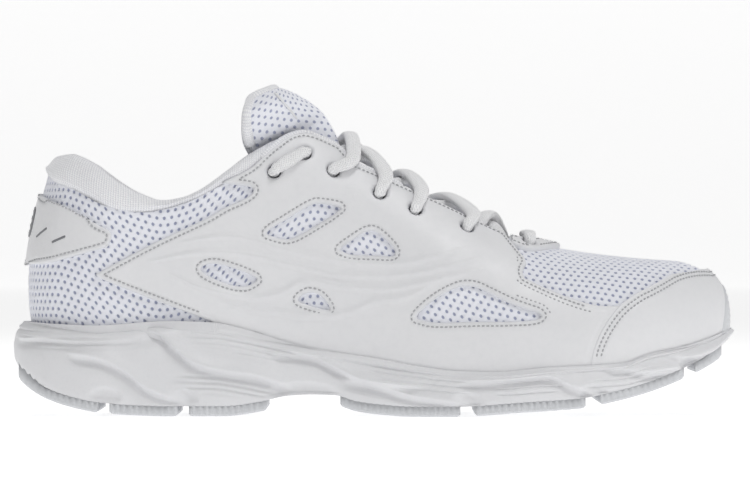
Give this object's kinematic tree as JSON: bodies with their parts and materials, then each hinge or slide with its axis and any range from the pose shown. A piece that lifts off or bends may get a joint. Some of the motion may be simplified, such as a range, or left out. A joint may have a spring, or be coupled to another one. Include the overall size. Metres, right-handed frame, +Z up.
{
  "type": "cheer shoe",
  "caption": "Low-cut lace-up white cheer and training shoe, right foot: mesh upper with windowed overlays, padded collar and tongue, sculpted foam sole",
  "frame": {"origin": "centre of the bounding box in plan, on the ground plane", "axes": "+X toe, +Y medial side of a right shoe, +Z up"},
  "size_m": [0.2992, 0.1029, 0.1352],
  "materials": {
    "leather": "smooth coated synthetic leather, fine grain, satin",
    "mesh": "open knitted mesh, matte, small diamond pores",
    "lining": "fine brushed knit over foam, matte",
    "foam": "moulded foam, satin",
    "rubber": "slightly translucent white rubber",
    "cord": "braided polyester, matte",
    "aglet": "clear white film, glossy",
    "board": "stiffened non-woven",
    "badge": "moulded soft plastic, plain"
  },
  "bodies": {
    "shoe": {"aglet_lateral": "aglet", "aglet_medial": "aglet", "collar_lateral": "lining", "collar_medial": "lining", "heel_badge": "badge", "heel_counter": "board", "heel_overlay": "leather", "lace": "cord", "lateral_eyelet_backing": "board", "lateral_overlay": "leather", "lateral_quarter_mesh": "mesh", "medial_eyelet_backing": "board", "medial_overlay": "leather", "medial_quarter_mesh": "mesh", "midsole": "foam", "outsole_ball_lateral": "rubber", "outsole_ball_medial": "rubber", "outsole_fore_lateral": "rubber", "outsole_fore_medial": "rubber", "outsole_heel": "rubber", "outsole_rear_lateral": "rubber", "outsole_rear_medial": "rubber", "outsole_toe": "rubber", "outsole_tread_lateral": "rubber", "outsole_tread_medial": "rubber", "outsole_waist_lateral": "rubber", "outsole_waist_medial": "rubber", "strobel_board": "board", "throat_overlay": "leather", "toe_bumper": "rubber", "toe_cap": "leather", "toe_puff": "board", "vamp_mesh": "mesh"},
    "tongue": {"tongue_lower": "mesh", "tongue_lower_lining": "lining"},
    "flap": {"tongue_flap": "mesh", "tongue_flap_lining": "lining"},
    "insole": {"sockliner": "lining"}
  },
  "joints": [
    {"name": "tongue_hinge", "type": "hinge", "parent": "shoe", "child": "tongue", "pos_m": [0.058, 0.0015, 0.066], "axis": [0, -1, 0], "range_deg": [0, 1.2], "stiffness_Nm_per_rad": 1.5},
    {"name": "tongue_flap_hinge", "type": "hinge", "parent": "tongue", "child": "flap", "pos_m": [-0.014, -0.0005, 0.1085], "axis": [0, 1, 0], "range_deg": [-0.5, 30], "stiffness_Nm_per_rad": 0.4},
    {"name": "insole_lift", "type": "hinge", "parent": "shoe", "child": "insole", "pos_m": [0.134, 0.006, 0.0285], "axis": [0, 1, 0], "range_deg": [0, 2.8]}
  ]
}
